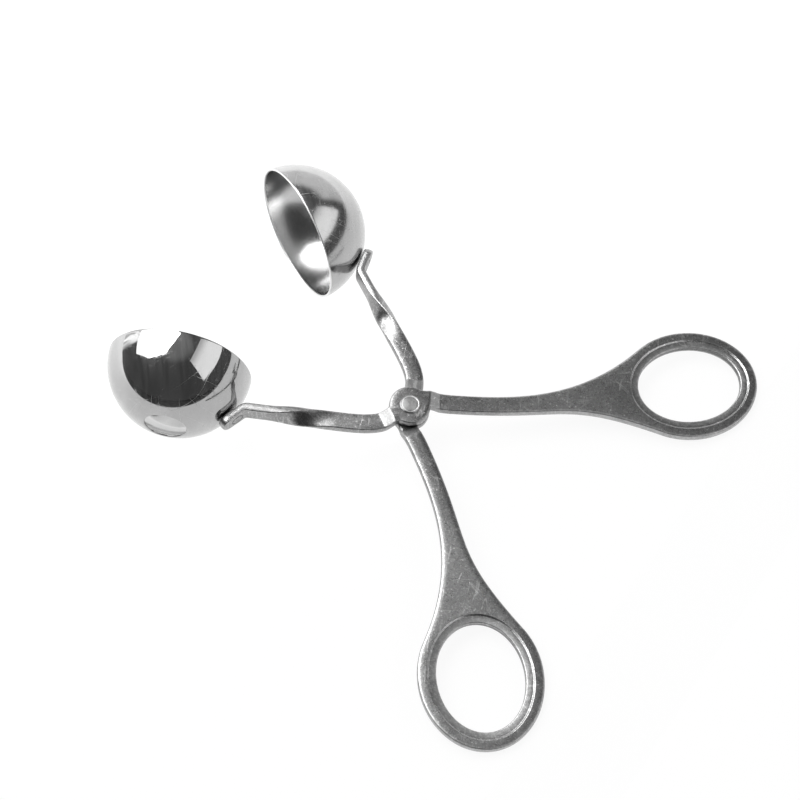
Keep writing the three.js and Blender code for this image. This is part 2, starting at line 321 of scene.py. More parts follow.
class BowlSizes(bpy.types.PropertyGroup):
    """The two bowls"""

    diameter: length("Diameter", "Outside, as the packed bowl stands", (BOWL_HIGH.z - BOWL_LOW.z) / MM)
    wall: length("Wall", "Thickness of the spun sheet", 0.7)
    vent: length("Vent", "Diameter of the hole at the pole", 13)
    reach: length("Reach", "Pivot to bowl centre", 72)
    rim_gap: length("Rim gap", "Between the rims when the tool is shut", 0.3)


class StripSizes(bpy.types.PropertyGroup):
    """Strip that each arm is stamped from"""

    width: length("Width", "Across the strip", 5.7)
    thickness: length("Thickness", "Of the sheet", 2.85)
    edge_round: length("Edge round", "Radius that tumbling leaves on the edges", 0.38)
    side_round: length("Side round", "Radius of the bowed narrow sides", 6)
    crown_reach: length("Crown reach", "From an edge in to the flat middle of the face", 2.2)
    crown_drop: length("Crown drop", "Of a face at its edges, below its middle", 0.13)
    margin: length("Margin", "Flat kept beside a rounded opening", 0.12)


class PivotSizes(bpy.types.PropertyGroup):
    """Bosses and rivet"""

    boss_diameter: length("Boss", "Diameter of the round boss", 12.8)
    boss_gap: length("Boss gap", "Between the two bosses", 0.3)
    corner_fillet: length("Corner fillet", "Inside corner between boss and strip", 0.6)
    shoulder_fillet: length("Shoulder fillet", "Corner between boss and the handle's outer edge", 5)
    joggle_margin: length("Joggle margin", "Edge of the boss to the first bend line", 0.3)
    joggle_length: length("Joggle", "Slope from the boss to the arm's level", 3)
    crease: length("Crease", "Half the length of a rounded bend line", 0.45)
    rivet_diameter: length("Rivet", "Shank diameter", 4)
    rivet_play: length("Rivet play", "Round the shank", 0.3)
    head_diameter: length("Head", "Diameter of the rivet's head", 6.4)
    head_face: length("Head face", "Diameter of the flat on the head", 4.8)
    head_height: length("Head height", "Of the rivet's head", 0.42)
    head_edge: length("Head edge", "Height of the head's upright edge", 0.1)
    groove_width: length("Groove width", "Of the groove that riveting leaves round the flat", 0.4)
    groove_depth: length("Groove depth", "Of the groove round the flat", 0.14)
    seat_gap: length("Seat gap", "Head to boss", 0.05)
    soft_corner: length("Soft corner", "Rounding of the turned corners", 0.12)


class RingSizes(bpy.types.PropertyGroup):
    """Finger rings"""

    reach: length("Reach", "Pivot to ring centre", 89.4)
    spread: angle("Spread", "Heading of the ring centre", 17.2)
    tilt: angle("Tilt", "Heading of the oval's long axis", 24.3)
    hole_length: length("Hole length", "Along the oval", 33.3)
    hole_breadth: length("Hole breadth", "Across the oval", 26)
    end_wall: length("End wall", "Hole to outer edge at the ends", 5.35)
    side_wall: length("Side wall", "Hole to outer edge at the sides", 5.55)
    ledge_depth: length("Ledge depth", "Of the ledge round the hole, below the strip's face", 0.3)
    ledge_width: length("Ledge width", "Hole to the foot of the step", 2.2)
    step_width: length("Step width", "From the ledge up to the band", 0.45)
    soft_corner: length("Soft corner", "Rounding of the step's corners", 0.15)


class HandleSizes(bpy.types.PropertyGroup):
    """Handle: a root curve to the neck, then two edges that flare into the ring"""

    root_heading: angle("Root heading", "Out of the pivot", 48)
    root_lead: length("Root lead", "Kept along the root heading", 6)
    neck_x: length("Neck X", "Place of the neck", 12.6)
    neck_y: length("Neck Y", "Place of the neck", 4.15)
    neck_heading: angle("Neck heading", "Of the strip at the neck", 7.7)
    neck_lead: length("Neck lead", "Kept along the neck heading", 4.5)
    outer_lead: length("Outer lead", "Kept by the outer edge past the neck", 18.8)
    outer_touch: angle("Outer touch", "Place on the oval where the outer edge arrives", 123.3)
    outer_touch_lead: length("Outer touch lead", "Kept along the oval's tangent", 28.2)
    inner_lead: length("Inner lead", "Kept by the inner edge past the neck", 36.6)
    inner_touch: angle("Inner touch", "Place on the oval where the inner edge arrives", 231.1)
    inner_touch_lead: length("Inner touch lead", "Kept along the oval's tangent", 33.4)


class ForearmSizes(bpy.types.PropertyGroup):
    """Forearm: a root curve, a run with a quarter twist, and the weld tab"""

    root_heading: angle("Root heading", "Out of the pivot", 224)
    root_lead: length("Root lead", "Kept along the root heading", 9.2)
    run_heading: angle("Run heading", "Of the straight run", 183.9)
    run_lead: length("Run lead", "Kept along the run heading", 13.8)
    twist_length: length("Twist", "Length of the quarter twist", 21.7)
    edge_run: length("Edge run", "On edge, from the twist to the bend", 6.8)
    tab_angle: angle("Tab angle", "Round the bowl from its pivot side to the tab", 40.3)
    tab_lead: length("Tab lead", "Bend to touching place", 6.2)
    tab_tail: length("Tab tail", "Touching place to the tab's end", 3)
    tab_bend_radius: length("Tab bend", "Radius of the strip's middle", 2.5)
    weld_gap: length("Weld gap", "Tab to bowl", 0.3)
    mark_length: length("Weld mark length", "Of the spot weld's mark, along the strip", 3.8)
    mark_breadth: length("Weld mark breadth", "Of the spot weld's mark, across the strip", 3.2)
    mark_depth: length("Weld mark depth", "Of the spot weld's mark at its rim", 0.22)
    mark_setback: length("Weld mark setback", "Touching place back to the mark's centre", 2.4)


class SteelFinish(bpy.types.PropertyGroup):
    """Steel finishes"""

    satin: tint("Satin steel", "Tumbled arms", (0.31, 0.31, 0.31))
    satin_roughness: share("Satin roughness", "Of the tumbled arms", 0.28)
    polished: tint("Polished steel", "Mirror bowls", (0.42, 0.42, 0.42))
    front_roughness: share("Front bowl's roughness", "Of its outside", 0.03)
    rear_roughness: share("Rear bowl's roughness", "Of its outside", 0.15)
    front_inside: share("Front bowl's inside", "Roughness of its inside", 0.12)
    rear_inside: share("Rear bowl's inside", "Roughness of its inside", 0.21)
    film_roughness: share("Film roughness", "Of the hazy film on the bowls", 0.5)
    rivet: tint("Rivet steel", "Turned rivet", (0.34, 0.34, 0.34))
    rivet_roughness: share("Rivet roughness", "Of the turned rivet", 0.26)


class StageSizes(bpy.types.PropertyGroup):
    """Floor, light and camera"""

    opening: angle("Opening", "Between the halves, as they lie", 50)
    floor: tint("Floor", "Pale sheet under the tool", (0.06, 0.06, 0.06))
    # The floor's glow is painted light that washes out the tool's shadows
    floor_painted_light: share("Floor glow", "Light that comes up through the sheet", 1.48)
    floor_size: length("Floor size", "Across the sheet", 12000)
    floor_fall: length("Floor fall", "Of the sheet past the rings, which swing lower as they close", 4.4)
    fall_bearing: angle("Fall bearing", "From +Y towards +X, along which the sheet's light falls off", 115)
    # The card shows only in reflections: a painted dark reflection of the room in front
    flag: tint("Flag", "Black card in front of the tool", (0.032, 0.032, 0.032))
    flag_size: length("Flag size", "Across the black card", 24000)
    flag_bearing: angle("Flag bearing", "From +Y towards +X, to the black card", 159.6)
    flag_start: length("Flag start", "From the middle to the black card's feathered edge", 165)
    flag_end: length("Flag end", "From the middle to where the card is whole", 185)
    key_height: length("Key height", "Of the overhead softbox", 2080)
    key_radiance: share("Key", "Brightness of the overhead softbox's near end", 6.5)
    key_far: share("Key far end", "Brightness of the far end, as a share of the near end's", 0.4)
    window_place: place_at("Window place", "Middle of the panel on the right", (1080, 580, 1340))
    window_bearing: angle("Window bearing", "From +Y towards +X, square to the panel", 75)
    window_width: length("Window width", "Of the panel on the right", 1830)
    window_height: length("Window height", "Of the panel on the right", 1650)
    window_radiance: share("Window", "Brightness of the panel on the right", 1.65)
    room_dark: share("Room", "Brightness of the dark room", 0.075)
    room_ceiling: share("Ceiling", "Brightness that the ceiling adds", 0.16)
    backdrop: share("Backdrop", "Brightness that the pale backdrop adds", 0.93)
    lens: FloatProperty(name="Lens", description="Focal length on a 36 mm frame", default=88.1, unit="CAMERA")
    azimuth: angle("Azimuth", "Of the camera, from -Y towards +X", 37.19)
    elevation: angle("Elevation", "Of the camera above the floor", 57.55)
    roll: angle("Roll", "Camera's up towards its right", 3.36)
    distance: length("Distance", "Camera to the point it aims at", 607.24)
    aim_x: length("Aim X", "Point that the camera aims at", -4.52)
    aim_y: length("Aim Y", "Point that the camera aims at", 1.1)


class TongsSettings(bpy.types.PropertyGroup):
    """Everything that can be set on the tool and its stage"""

    bowl: PointerProperty(type=BowlSizes)
    strip: PointerProperty(type=StripSizes)
    pivot: PointerProperty(type=PivotSizes)
    ring: PointerProperty(type=RingSizes)
    handle: PointerProperty(type=HandleSizes)
    forearm: PointerProperty(type=ForearmSizes)
    finish: PointerProperty(type=SteelFinish)
    stage: PointerProperty(type=StageSizes)


def towards(heading):
    """Unit vector along a heading in the arm's plane"""
    return Vector((math.cos(heading), math.sin(heading)))


def left_of(direction):
    """Direction turned a quarter to the left"""
    return Vector((-direction.y, direction.x))


def clamp(value, low, high):
    """Value held between two limits"""
    return max(low, min(high, value))


def smooth(part):
    """Eased way from 0 to 1"""
    part = clamp(part, 0, 1)
    return part * part * (3 - 2 * part)


def where(function, target):
    """Place between 0 and 1 at which a rising function reaches a target"""
    low, high = 0, 1
    for _ in range(HALVINGS):
        middle = (low + high) / 2
        if function(middle) < target:
            low = middle
        else:
            high = middle
    return low


def spread(low, high, steps):
    """Values from low to high, both included"""
    return [low + (high - low) * step / steps for step in range(steps + 1)]


def arc(centre, radius, start, end, steps):
    """Points of a circle's arc from one angle to another"""
    return [centre + towards(turn) * radius for turn in spread(start, end, steps)]


def softened(corners, reach):
    """Open run of straight edges whose inner corners are rounded, starting a given length from each"""
    points = [corners[0]]
    for before, corner, after in zip(corners, corners[1:], corners[2:]):
        start = corner + (before - corner).normalized() * reach
        end = corner + (after - corner).normalized() * reach
        for part in spread(0, 1, BLEND_STEPS):
            points.append(start.lerp(corner, part).lerp(corner.lerp(end, part), part))
    return points + [corners[-1]]


class Sweep:
    """Cubic curve that leaves one point and arrives at another along given directions"""

    def __init__(self, start, leaving, leaving_lead, end, arriving, arriving_lead):
        self.knots = start, start + leaving * leaving_lead, end - arriving * arriving_lead, end

    def at(self, way):
        """Point at a share of the way"""
        start, leaving, arriving, end = self.knots
        left = 1 - way
        first_half = start * left**3 + leaving * (3 * left * left * way)
        return first_half + arriving * (3 * left * way * way) + end * way**3

    def heading(self, way):
        """Direction at a share of the way"""
        start, leaving, arriving, end = self.knots
        left = 1 - way
        first_half = (leaving - start) * (left * left) + (arriving - leaving) * (2 * left * way)
        return (first_half + (end - arriving) * (way * way)).normalized()

    def beside(self, way, distance):
        """Point at a distance to the left of the curve"""
        return self.at(way) + left_of(self.heading(way)) * distance


class Blank:
    """Flat blank of an arm and the way it is formed. The plan is that of the shut tool: the pivot at the
    origin, X towards the rings, the closing plane at Y = 0, the ring on the +Y side."""

    def __init__(self, tool):
        self.strip, self.pivot, self.ring, self.forearm = tool.strip, tool.pivot, tool.ring, tool.forearm
        self.handle = tool.handle
        self.half_width = self.strip.width / 2
        self.face = self.strip.thickness / 2
        self.boss_radius = self.pivot.boss_diameter / 2
        self.boss_level = (self.pivot.boss_gap + self.strip.thickness) / 2
        self.plan_handle()
        self.plan_forearm(tool.bowl)
        self.joggles = [self.joggle(root) for root in (self.handle_root, self.forearm_root)]

    def plan_handle(self):
        """Root curve of the handle and the two edges that flare into the ring"""
        handle, ring = self.handle, self.ring
        self.ring_centre = towards(ring.spread) * ring.reach
        neck = Vector((handle.neck_x, handle.neck_y))
        heading = towards(handle.neck_heading)
        self.handle_root = Sweep(
            ORIGIN, towards(handle.root_heading), handle.root_lead, neck, heading, handle.neck_lead,
        )
        side = left_of(heading) * self.half_width
        self.outer_flare = Sweep(
            neck + side, heading, handle.outer_lead, self.ring_edge(handle.outer_touch),
            -self.ring_tangent(handle.outer_touch), handle.outer_touch_lead,
        )
        self.inner_flare = Sweep(
            neck - side, heading, handle.inner_lead, self.ring_edge(handle.inner_touch),
            self.ring_tangent(handle.inner_touch), handle.inner_touch_lead,
        )

    def plan_forearm(self, bowl):
        """Root curve of the forearm and its straight run, up to the tab that touches the bowl"""
        forearm = self.forearm
        self.run = towards(forearm.run_heading)
        tab_heading = math.radians(270) - forearm.tab_angle
        stand_off = bowl.diameter / 2 + forearm.weld_gap + self.face
        tab_touch = Vector((-bowl.reach, 0)) + towards(-forearm.tab_angle) * stand_off
        tab_bend = tab_touch - towards(tab_heading) * forearm.tab_lead
        self.run_start = tab_bend - self.run * (forearm.twist_length + forearm.edge_run)
        self.forearm_root = Sweep(
            ORIGIN, towards(forearm.root_heading), forearm.root_lead,
            self.run_start, self.run, forearm.run_lead,
        )
        bend = tab_heading - forearm.run_heading
        setback = forearm.tab_bend_radius * math.tan(bend / 2)
        self.bend_start = forearm.twist_length + forearm.edge_run - setback
        self.bend_end = self.bend_start + forearm.tab_bend_radius * bend
        self.touch = self.bend_end + forearm.tab_lead - setback
        self.run_end = self.touch + forearm.tab_tail
        self.mark = self.run_start + self.run * (self.touch - forearm.mark_setback)

    def oval(self, turn, past_end, past_side):
        """Point of an oval round the finger hole, from the ring's centre"""
        across = Vector((
            (self.ring.hole_length / 2 + past_end) * math.cos(turn),
            (self.ring.hole_breadth / 2 + past_side) * math.sin(turn),
        ))
        return Matrix.Rotation(self.ring.tilt, 2) @ across

    def ring_edge(self, turn):
        """Point of the ring's outer edge"""
        return self.ring_centre + self.oval(turn, self.ring.end_wall, self.ring.side_wall)

    def ring_tangent(self, turn):
        """Direction of the ring's outer edge"""
        ring = self.ring
        along = Vector((
            -(ring.hole_length / 2 + ring.end_wall) * math.sin(turn),
            (ring.hole_breadth / 2 + ring.side_wall) * math.cos(turn),
        ))
        return (Matrix.Rotation(ring.tilt, 2) @ along).normalized()

    def hole_edge(self, turn, outside):
        """Point at an even distance outside the finger hole's edge"""
        ring = self.ring
        normal = Vector((ring.hole_breadth * math.cos(turn), ring.hole_length * math.sin(turn))).normalized()
        edge = self.oval(turn, 0, 0) + Matrix.Rotation(ring.tilt, 2) @ normal * outside
        return self.ring_centre + edge

    def corner(self, root, side, fillet):
        """Where an edge of a root strip leaves the boss: the place on the root and the rounded inner corner,
        from the strip's edge to the boss"""
        reach = self.boss_radius + fillet
        wide = math.copysign(self.half_width + fillet, side)
        leaves = where(lambda way: root.beside(way, wide).length, reach)
        centre = root.beside(leaves, wide)
        start = root.beside(leaves, math.copysign(self.half_width, side)) - centre
        end = -centre
        turn = math.atan2(start.x * end.y - start.y * end.x, start.dot(end))
        first = math.atan2(start.y, start.x)
        return leaves, arc(centre, fillet, first, first + turn, FILLET_STEPS)

    def boss_edge(self, start, end):
        """Boss between two corners, counter-clockwise"""
        first = math.atan2(start.y, start.x)
        last = math.atan2(end.y, end.x)
        turn = (last - first) % (2 * math.pi)
        return arc(ORIGIN, self.boss_radius, first, first + turn, BOSS_STEPS)

    def outline(self):
        """Plan of the whole blank, counter-clockwise"""
        half = self.half_width
        handle, forearm = self.handle_root, self.forearm_root
        fillet = self.pivot.corner_fillet
        inner_leaves, inner_corner = self.corner(handle, -1, fillet)
        outer_leaves, outer_corner = self.corner(handle, 1, self.pivot.shoulder_fillet)
        right_leaves, right_corner = self.corner(forearm, -1, fillet)
        left_leaves, left_corner = self.corner(forearm, 1, fillet)
        points = [handle.beside(way, -half) for way in spread(inner_leaves, 1, ROOT_STEPS)]
        points += [self.inner_flare.at(way) for way in spread(0, 1, FLARE_STEPS)]
        far_turn = self.handle.outer_touch + 2 * math.pi
        points += [self.ring_edge(turn) for turn in spread(self.handle.inner_touch, far_turn, OVAL_STEPS)]
        points += [self.outer_flare.at(way) for way in spread(1, 0, FLARE_STEPS)]
        points += [handle.beside(way, half) for way in spread(1, outer_leaves, ROOT_STEPS)]
        points += outer_corner
        points += self.boss_edge(outer_corner[-1], right_corner[-1])
        points += right_corner[::-1]
        points += [forearm.beside(way, -half) for way in spread(right_leaves, 1, ROOT_STEPS)]
        tab_end = self.run_start + self.run * (self.run_end - half)
        across = self.forearm.run_heading
        points += arc(tab_end, half, across - math.pi / 2, across + math.pi / 2, TAB_END_STEPS)
        points += [forearm.beside(way, half) for way in spread(1, left_leaves, ROOT_STEPS)]
        points += left_corner
        points += self.boss_edge(left_corner[-1], inner_corner[-1])
        points += inner_corner[::-1]
        apart = self.strip.edge_round * SAME_CORNER
        return [point for i, point in enumerate(points) if (point - points[i - 1]).length > apart]

    def crown(self, inset):
        """How far a face lies below its middle at a distance from its edge"""
        return self.strip.crown_drop * (1 - min(1, inset / self.strip.crown_reach)) ** 2

    def edge_profile(self):
        """Insets and heights round the blank's edge, from the lower face's flat to the upper one's"""
        small, large = self.strip.edge_round, self.strip.side_round
        meets = math.asin((self.face - small) / (large - small))
        bowed = arc(Vector((large, 0)), large, math.pi, math.pi - meets, SIDE_STEPS)
        corner = Vector((large, 0)) - towards(-meets) * (large - small)
        rounded = arc(corner, small, math.pi - meets, math.pi / 2, EDGE_STEPS)[1:]
        insets = spread(corner.x, self.strip.crown_reach, CROWN_STEPS)[1:]
        crowned = [Vector((inset, self.face)) for inset in insets]
        upper = [Vector((point.x, point.y - self.crown(point.x))) for point in bowed + rounded + crowned]
        return mirrored(upper[1:]) + upper

    def ring_profile(self):
        """Distances from the finger hole and heights: band, step, ledge and hole wall of the upper half"""
        ring, radius = self.ring, self.strip.edge_round
        ledge = self.face - ring.ledge_depth
        brink = ring.ledge_width + ring.step_width
        step = softened([
            Vector((brink + ring.soft_corner + self.strip.margin, self.face)),
            Vector((brink, self.face)),
            Vector((ring.ledge_width, ledge)),
            Vector((radius, ledge)),
        ], ring.soft_corner)
        edge = arc(Vector((radius, ledge - radius)), radius, math.pi / 2, math.pi, EDGE_STEPS)
        return step + edge[1:] + [Vector((0, 0))]

    def bore_profile(self):
        """Radii and heights of the rivet's hole, upper half"""
        radius = self.pivot.rivet_diameter / 2 + self.pivot.rivet_play
        corners = [
            Vector((radius + 2 * self.strip.edge_round, self.face)),
            Vector((radius, self.face)),
            Vector((radius, 0)),
        ]
        return softened(corners, self.pivot.soft_corner)

    def dent(self, plan):
        """Share of the spot weld's depth that a place on the blank has: a sunken disc with a deeper rim"""
        forearm = self.forearm
        offset = plan - self.mark
        along = 2 * offset.dot(self.run) / forearm.mark_length
        across = 2 * offset.dot(left_of(self.run)) / forearm.mark_breadth
        out = math.hypot(along, across)
        rim = 1 - smooth(abs(out - 1) / MARK_RIM)
        return max(rim, MARK_FLOOR * (1 - smooth(out)))

    def raised(self, plan):
        """Share of the boss's height that a place on the blank has, past the joggles' bend lines"""
        return min(self.kept(joggle, plan) for joggle in self.joggles)

    def joggle(self, root):
        """Middle of a root's joggle, the way it falls, and where it starts from the middle"""
        half = self.pivot.joggle_length / 2
        reach = self.boss_radius + self.pivot.joggle_margin + half
        middle = where(lambda way: root.at(way).length, reach)
        return root.at(middle), root.heading(middle), -half

    def kept(self, joggle, plan):
        """Share of the boss's height that a place past one joggle keeps"""
        middle, fall, start = joggle
        past = (plan - middle).dot(fall) - start
        crease = self.pivot.crease

        def rise(distance):
            """Way past a bend line, rounded over the crease"""
            if distance > crease:
                return distance
            return max(0, distance + crease) ** 2 / (4 * crease)

        run = self.pivot.joggle_length
        return 1 - (rise(past) - rise(past - run)) / run

    def formed(self, point):
        """Where a point of the flat blank goes: boss raised, run twisted, tab bent"""
        plan = point.xy
        along = (plan - self.run_start).dot(self.run)
        if along <= 0:
            return Vector((plan.x, plan.y, point.z + self.boss_level * self.raised(plan)))
        across = (plan - self.run_start).dot(left_of(self.run))
        roll = -math.pi / 2 * smooth(along / self.forearm.twist_length)
        side = across * math.cos(roll) - point.z * math.sin(roll)
        height = across * math.sin(roll) + point.z * math.cos(roll)
        radius = self.forearm.tab_bend_radius
        bent = clamp(along, self.bend_start, self.bend_end)
        heading = towards(self.forearm.run_heading + (bent - self.bend_start) / radius)
        bend_centre = self.run_start + self.run * self.bend_start + left_of(self.run) * radius
        place = bend_centre + left_of(heading) * (side - radius) + heading * (along - bent)
        return Vector((place.x, place.y, height))

    def crease_lines(self):
        """Lines across the blank along which forming bends it, as points and directions"""
        crease, run = self.pivot.crease, self.pivot.joggle_length
        for middle, fall, start in self.joggles:
            for bend in (start, start + run):
                for distance in spread(bend - crease, bend + crease, CREASE_STEPS):
                    yield middle + fall * distance, fall
        twist = spread(0, self.forearm.twist_length, TWIST_STEPS)
        bend = spread(self.bend_start, self.bend_end, TAB_BEND_STEPS)
        middle = self.touch - self.forearm.mark_setback
        mark = spread(middle - self.forearm.mark_length, middle + self.forearm.mark_length, MARK_STEPS)
        for along in twist + bend + mark:
            yield self.run_start + self.run * along, self.run

    def bent(self, plan):
        """1 on the bend lines at the feet of the joggles, 0 away from them"""
        nearest = 1
        for middle, fall, start in self.joggles:
            offset = plan - middle
            if offset.length < self.strip.width:
                foot = offset.dot(fall) - start - self.pivot.joggle_length
                nearest = min(nearest, abs(foot) / self.pivot.crease)
        return 1 - smooth(nearest)

    def slope_dull_and_lit(self, plan):
        """1 on the slopes of the joggles, 0 away from them"""
        raised = self.raised(plan)
        return min(1, SLOPE_GAIN * raised * (1 - raised))

    def refine(self, arm):
        """Cuts along the strip that give the spot weld's mark a fine grid of corners"""
        reach = self.forearm.mark_length
        side = left_of(self.run)
        for across in spread(-self.half_width, self.half_width, MARK_STEPS)[1:-1]:
            near = [face for face in arm.faces if (face.calc_center_median().xy - self.mark).length < reach]
            parts = list({part for face in near for part in (face, *face.edges, *face.verts)})
            cut(arm, parts, self.mark + side * across, side)

    def mesh(self):
        """Formed arm as one closed mesh; its wear layer is 1 on worn rounded edges and on the lightened bend
        lines at the feet of the joggles, 0 away from them, its scorch_and_shade layer darkens the rim of the
        spot weld's mark with scorch and the finger hole's wall with painted shade, and its slope_dull_and_lit
        layer dulls the slopes of the joggles and lightens them with painted light"""
        arm = bmesh.new()
        wear = arm.verts.layers.float.new("wear")
        scorch_and_shade = arm.verts.layers.float.new("scorch_and_shade")
        slope_dull_and_lit = arm.verts.layers.float.new("slope_dull_and_lit")
        outline = self.outline()
        count = len(outline)
        inward = []
        for i, point in enumerate(outline):
            ahead = (outline[(i + 1) % count] - point).normalized()
            behind = (point - outline[i - 1]).normalized()
            inward.append(left_of((ahead + behind).normalized()))
        edge_profile, ring_profile = self.edge_profile(), self.ring_profile()
        edge = [
            level_row(arm, [point + normal * inset for point, normal in zip(outline, inward)], height)
            for inset, height in edge_profile
        ]
        turns = spread(0, 2 * math.pi, OVAL_STEPS)[:-1]
        ring = both_faces(arm, ring_profile, lambda out: [self.hole_edge(turn, out) for turn in turns])
        bore = both_faces(arm, self.bore_profile(), lambda radius: circle(radius, BORE_STEPS))
        worn = [(inset, row) for (inset, _), row in zip(edge_profile, edge)]
        worn += [(out, row) for (out, _), row in zip(ring_profile, ring)]
        worn += [(out, row) for (out, _), row in zip(ring_profile, reversed(ring))]
        radius = self.strip.edge_round
        for distance, row in worn:
            for vert in row:
                vert[wear] = 1 - smooth((distance - radius) / radius)
        shaded_hole_wall = {vert for (out, _), row in zip(ring_profile, ring) if out == 0 for vert in row}
        for rows in (edge, ring, bore):
            skin(arm, rows)
        fill(arm, [edge[-1], ring[0], bore[0]])
        fill(arm, [edge[0], ring[-1], bore[-1]])
        for spot, direction in self.crease_lines():
            cut(arm, arm.verts[:] + arm.edges[:] + arm.faces[:], spot, direction)
        self.refine(arm)
        for vert in arm.verts:
            if vert.co.z > 0:
                # The bend lines at the feet of the joggles are lightened too, in the same layer as the worn
                # edges
                vert[wear] = max(vert[wear], self.bent(vert.co.xy))
                vert[scorch_and_shade] = self.dent(vert.co.xy)
                vert.co.z -= self.forearm.mark_depth * vert[scorch_and_shade]
        # Painted shade on the finger hole's wall, in the same layer as the weld's scorch
        for vert in shaded_hole_wall:
            vert[wear] = 0
            vert[scorch_and_shade] = HOLE_WALL_SHADE
        for vert in arm.verts:
            vert[slope_dull_and_lit] = self.slope_dull_and_lit(vert.co.xy)
            vert.co = self.formed(vert.co)
        return arm


def circle(radius, steps):
    """Points of a whole circle round the origin"""
    return arc(ORIGIN, radius, 0, 2 * math.pi, steps)[:-1]


def mirrored(profile):
    """Lower half of a profile, from its upper half"""
    return [Vector((point.x, -point.y)) for point in reversed(profile)]


def cut(mesh, parts, spot, direction):
    """New edges where parts of a mesh cross an upright plane through a spot, square to a direction"""
    bmesh.ops.bisect_plane(
        mesh, geom=parts, plane_co=spot.to_3d(), plane_no=direction.to_3d(), dist=CUT_TOLERANCE,
    )


def hoop(mesh, points):
    """Closed row of corners"""
    return [mesh.verts.new(point) for point in points]


def level_row(mesh, points, height):
    """Closed row of corners at one height"""
    return hoop(mesh, [Vector((*point, height)) for point in points])


def both_faces(mesh, profile, plan):
    """Rows of an opening through the blank: the given upper half and its mirror image below"""
    whole = profile + mirrored(profile[:-1])
    return [level_row(mesh, plan(distance), height) for distance, height in whole]


def skin(mesh, rows, closed=False):
    """Faces between neighbouring rows"""
    pairs = list(zip(rows, rows[1:]))
    if closed:
        pairs.append((rows[-1], rows[0]))
    for row, following in pairs:
        for i in range(len(row)):
            mesh.faces.new((row[i - 1], row[i], following[i], following[i - 1]))


def fill(mesh, rows):
    """Flat face inside the first row and outside the others"""
    corners = [vert for row in rows for vert in row]
    for triangle in tessellate_polygon([[vert.co for vert in row] for row in rows]):
        mesh.faces.new([corners[i] for i in triangle])


def turned(profile, steps, closed=False):
    """Body of revolution about Z from radii and heights; an open profile is capped at both ends"""
    body = bmesh.new()
    rows = [level_row(body, circle(radius, steps), height) for radius, height in profile]
    skin(body, rows, closed)
    if not closed:
        body.faces.new(rows[0])
        body.faces.new(rows[-1])
    return body


def bowl_mesh(bowl):
    """Spun bowl with its pole down the Z axis and its rim just under the closing plane, edges rounded"""
    half = bowl.wall / 2
    middle = bowl.diameter / 2 - half
    rim = math.asin((bowl.rim_gap / 2 + half) / middle)
    vent = math.acos((bowl.vent / 2 + half) / middle)
    profile = arc(ORIGIN, middle + half, -rim, -vent, BOWL_DOWN)
    profile += arc(towards(-vent) * middle, half, -vent, -vent - math.pi, CAP_STEPS)[1:]
    profile += arc(ORIGIN, middle - half, -vent, -rim, BOWL_DOWN)[1:]
    profile += arc(towards(-rim) * middle, half, math.pi - rim, -rim, CAP_STEPS)[1:-1]
    body = turned(profile, BOWL_AROUND, closed=True)
    inside = body.verts.layers.float.new("inside")
    highlit_rim = body.verts.layers.float.new("highlit_rim")
    for vert in body.verts:
        vert[inside] = float(vert.co.length < middle)
        # The rim band gets a painted highlight
        vert[highlit_rim] = float(vert.co.z > -(bowl.rim_gap + bowl.wall) / 2)
    body.transform(Matrix.Translation((-bowl.reach, 0, 0)) @ Matrix.Rotation(math.radians(-90), 4, "X"))
    return body


def rivet_mesh(pivot, strip):
    """Rivet with a low head in front, grooved round its flat, and a like one formed behind"""
    seat = pivot.boss_gap / 2 + strip.thickness + pivot.seat_gap
    top = seat + pivot.head_height
    head, shank, flat = pivot.head_diameter / 2, pivot.rivet_diameter / 2, pivot.head_face / 2
    upper = softened([
        Vector((shank, 0)),
        Vector((shank, seat)),
        Vector((head, seat)),
        Vector((head, seat + pivot.head_edge)),
        Vector((flat + pivot.groove_width, top - pivot.groove_depth / 2)),
        Vector((flat + pivot.groove_width / 2, top - pivot.groove_depth)),
        Vector((flat, top)),
        Vector((pivot.soft_corner, top)),
    ], pivot.head_edge / 2)
    return turned(mirrored(upper[1:]) + upper, RIVET_AROUND)


def placed(tool, rear=False):
    """From an arm's own plan to the tool as it lies on the table"""
    on_table = Matrix.Translation(PIVOT) @ Matrix.Rotation(LEAN, 4, "Y")
    if rear:
        on_table = on_table @ Matrix.Rotation(math.pi, 4, "X")
    return on_table @ Matrix.Rotation(tool.stage.opening / 2, 4, "Z")


def add_object(name, mesh, material):
    """New object in the scene from a mesh"""
    data = bpy.data.meshes.new(name)
    mesh.to_mesh(data)
    data.materials.append(material)
    made = bpy.data.objects.new(name, data)
    bpy.context.scene.collection.objects.link(made)
    return made


def add_piece(name, mesh, place, material, node, body):
    """New piece from a mesh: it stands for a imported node, rides on its body and takes its finish"""
    bmesh.ops.recalc_face_normals(mesh, faces=mesh.faces)
    if not all(edge.is_manifold for edge in mesh.edges):
        raise RuntimeError(f"{name} isn't a closed mesh")
    piece = add_object(name, mesh, material)
    piece.data.transform(place)
    piece.data.shade_smooth()
    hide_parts(node)
    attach(piece, body)


